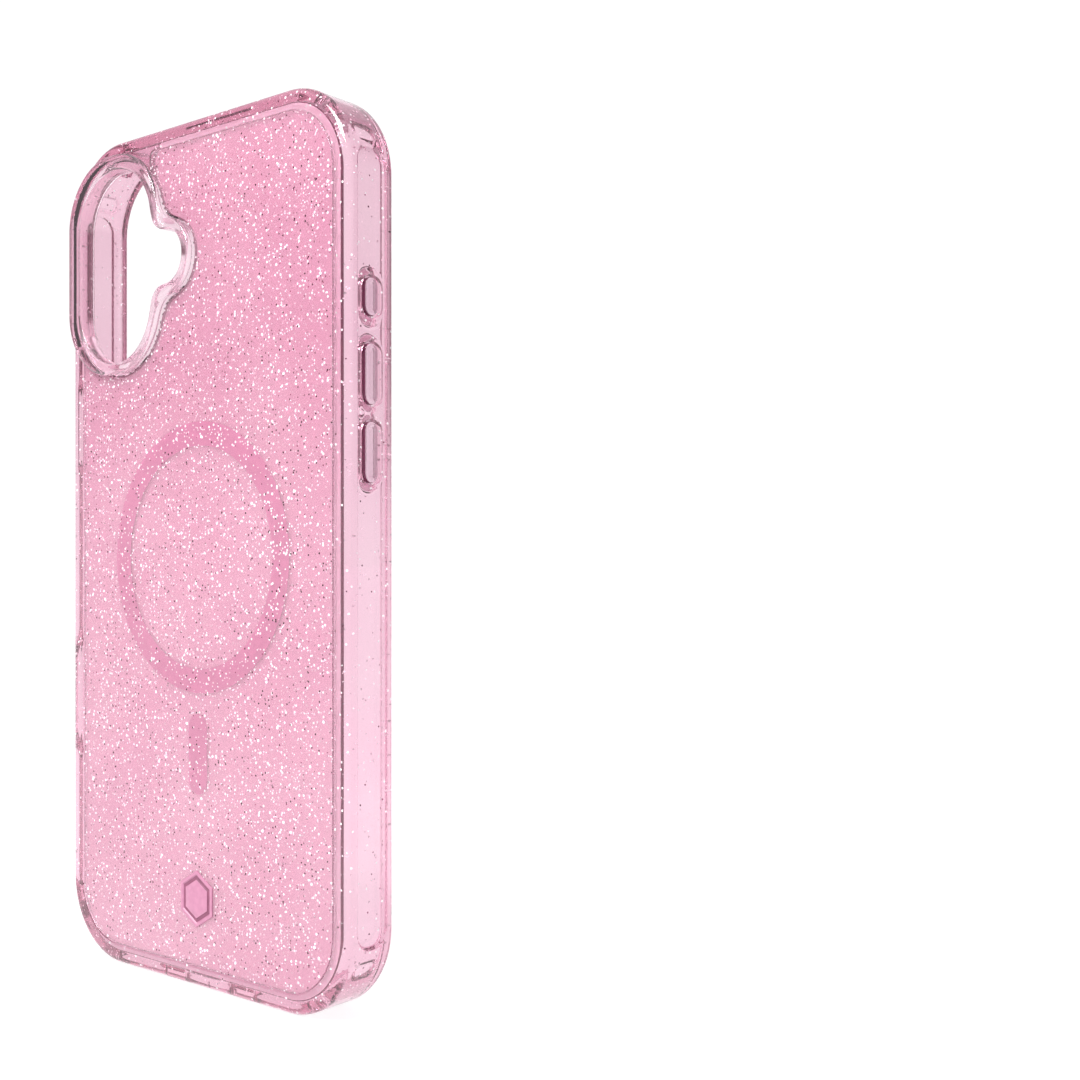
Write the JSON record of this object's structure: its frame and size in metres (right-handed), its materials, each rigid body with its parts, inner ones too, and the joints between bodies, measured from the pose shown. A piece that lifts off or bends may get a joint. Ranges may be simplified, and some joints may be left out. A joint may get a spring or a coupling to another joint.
{
  "type": "magnetic phone case",
  "caption": "Translucent shock-absorbing phone case with a raised camera guard, a magnetic ring in the back, press-through side buttons and open ports.",
  "frame": {"origin": "centre of the bounding box's bottom face: the middle of the case's short bottom edge, where it stands", "axes": "+Z along the case's length, towards the camera end; -Y out of the outer back, +Y out of the screen opening; +X to the right seen from the back, the side with the three buttons"},
  "size_m": [0.0824, 0.0128, 0.1654],
  "materials": {
    "bumper": "translucent pink soft plastic with sparse glitter",
    "guard": "clear pink plastic",
    "panel": "translucent pink hard plastic full of glitter",
    "liner": "smooth translucent pink",
    "cover": "satin pink print",
    "badge": "satin dusty pink",
    "magnet": "nickel plated",
    "carrier": "thin steel backing ring",
    "button": "translucent pink soft plastic"
  },
  "bodies": {
    "case": {"bumper_frame": "bumper", "camera_guard": "guard", "back_panel": "panel", "inner_liner": "liner", "ring_cover": "cover", "stem_cover": "cover", "badge": "badge", "ring_magnet_01": "magnet", "ring_magnet_02": "magnet", "ring_magnet_03": "magnet", "ring_magnet_04": "magnet", "ring_magnet_05": "magnet", "ring_magnet_06": "magnet", "ring_magnet_07": "magnet", "ring_magnet_08": "magnet", "ring_magnet_09": "magnet", "ring_magnet_10": "magnet", "ring_magnet_11": "magnet", "ring_magnet_12": "magnet", "ring_magnet_13": "magnet", "ring_magnet_14": "magnet", "ring_magnet_15": "magnet", "ring_magnet_16": "magnet", "ring_magnet_17": "magnet", "ring_magnet_18": "magnet", "alignment_magnet": "magnet", "magnet_carrier": "carrier"},
    "action_key": {"action_button": "button"},
    "volume_up_key": {"volume_up_button": "button"},
    "volume_down_key": {"volume_down_button": "button"},
    "power_key": {"power_button": "button"}
  },
  "joints": [
    {"name": "action_press", "type": "slide", "parent": "case", "child": "action_key", "axis": [-1, 0, 0], "range_m": [0, 0.0004], "stiffness_N_per_m": 1500},
    {"name": "volume_up_press", "type": "slide", "parent": "case", "child": "volume_up_key", "axis": [-1, 0, 0], "range_m": [0, 0.0004], "stiffness_N_per_m": 1500},
    {"name": "volume_down_press", "type": "slide", "parent": "case", "child": "volume_down_key", "axis": [-1, 0, 0], "range_m": [0, 0.0004], "stiffness_N_per_m": 1500},
    {"name": "power_press", "type": "slide", "parent": "case", "child": "power_key", "axis": [1, 0, 0], "range_m": [0, 0.0004], "stiffness_N_per_m": 1500}
  ]
}
